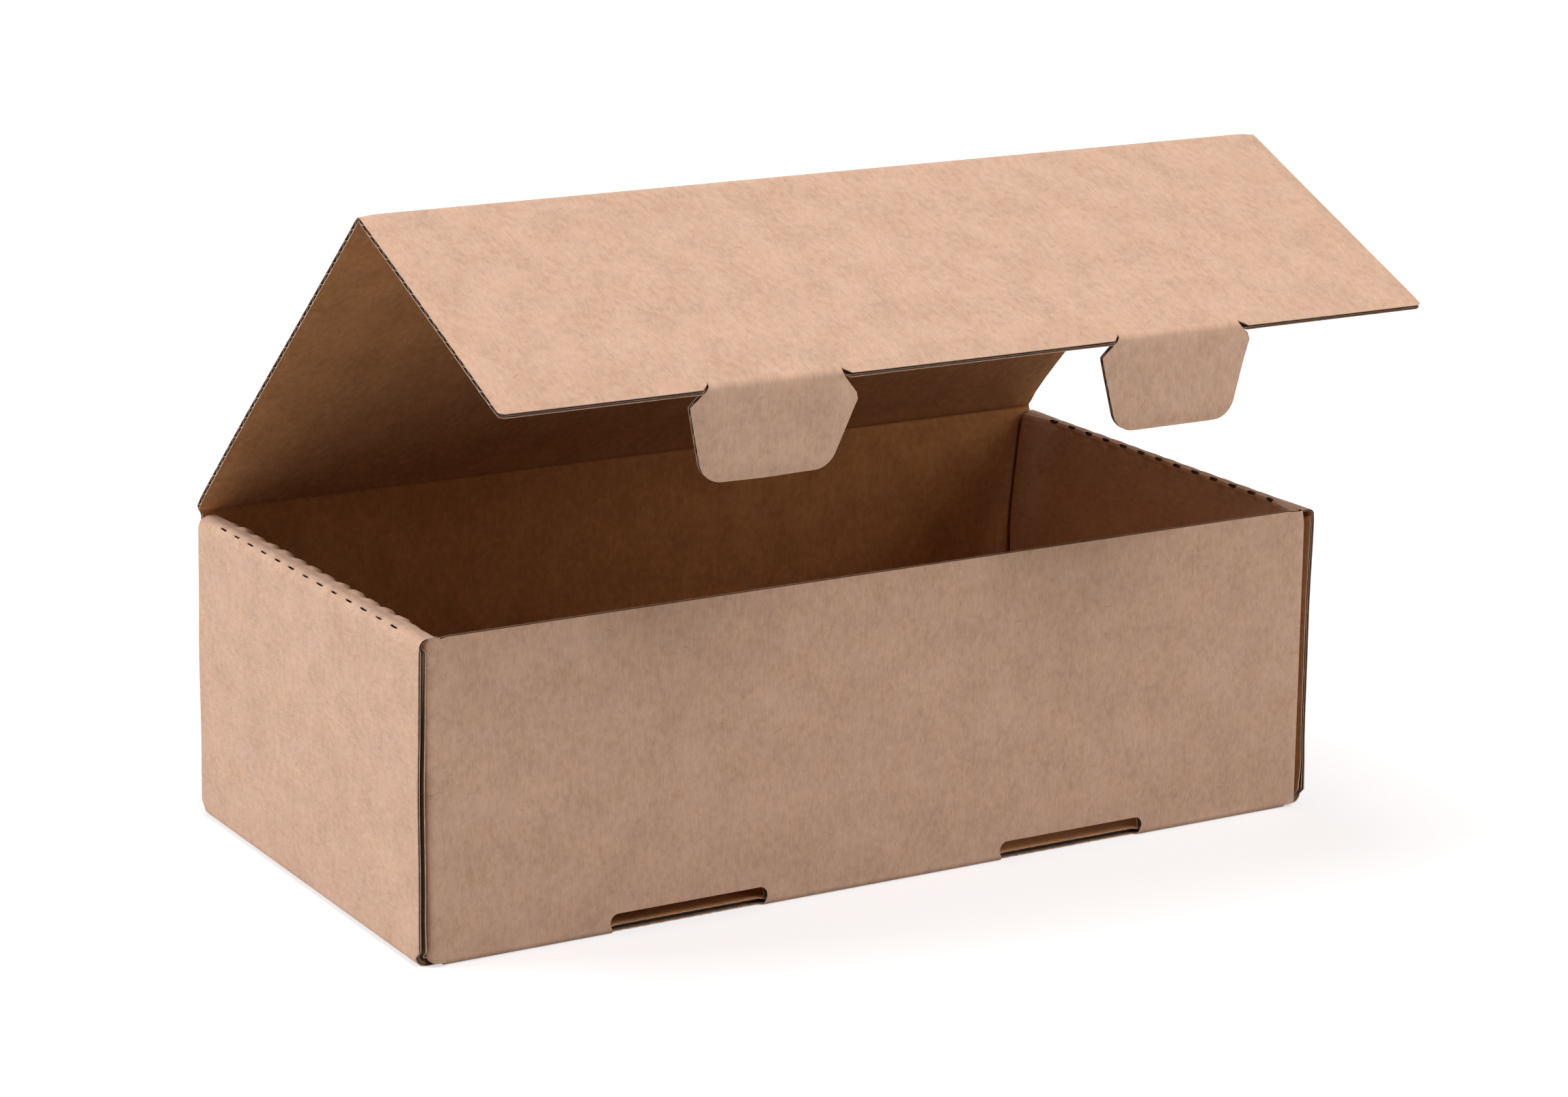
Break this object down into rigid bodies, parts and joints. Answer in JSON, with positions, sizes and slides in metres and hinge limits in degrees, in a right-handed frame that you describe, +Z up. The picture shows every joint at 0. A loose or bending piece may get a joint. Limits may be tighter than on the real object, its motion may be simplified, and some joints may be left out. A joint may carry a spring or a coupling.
{
  "type": "open cardboard box",
  "caption": "Folded corrugated mailer box with rolled double side walls, an open hinged lid, a front flap and two tuck tabs that fit slots at the foot of the front wall.",
  "frame": {"origin": "middle of the footprint, on the ground, at the underside of the bottom panel", "axes": "+Z up, -Y out of the front wall, +X to the right seen from the front"},
  "size_m": [0.344, 0.236, 0.2338],
  "materials": {
    "kraft_board": "matte, uncoated kraft liner",
    "kraft_board_lid": "matte, uncoated kraft liner",
    "kraft_board_tabs": "matte, uncoated kraft liner"
  },
  "bodies": {
    "tray": {"tray": "kraft_board"},
    "lid": {"lid_panel": "kraft_board_lid"},
    "front_flap": {"front_flap": "kraft_board_lid"},
    "tab_left": {"tab_left": "kraft_board_tabs"},
    "tab_right": {"tab_right": "kraft_board_tabs"}
  },
  "joints": [
    {"name": "lid_hinge", "type": "hinge", "parent": "tray", "child": "lid", "pos_m": [0, 0.088, 0.1096], "axis": [-1, 0, 0], "range_deg": [-42.06, 137.94]},
    {"name": "front_flap_hinge", "type": "hinge", "parent": "lid", "child": "front_flap", "pos_m": [0, -0.04802, 0.23233], "axis": [1, 0, 0], "range_deg": [-65.94, 24.06]},
    {"name": "tab_left_hinge", "type": "hinge", "parent": "front_flap", "child": "tab_left", "pos_m": [-0.0745, -0.14384, 0.1899], "axis": [1, 0, 0], "range_deg": [-73.1, 16.9]},
    {"name": "tab_right_hinge", "type": "hinge", "parent": "front_flap", "child": "tab_right", "pos_m": [0.0745, -0.14384, 0.1899], "axis": [1, 0, 0], "range_deg": [-69.1, 20.9]}
  ]
}
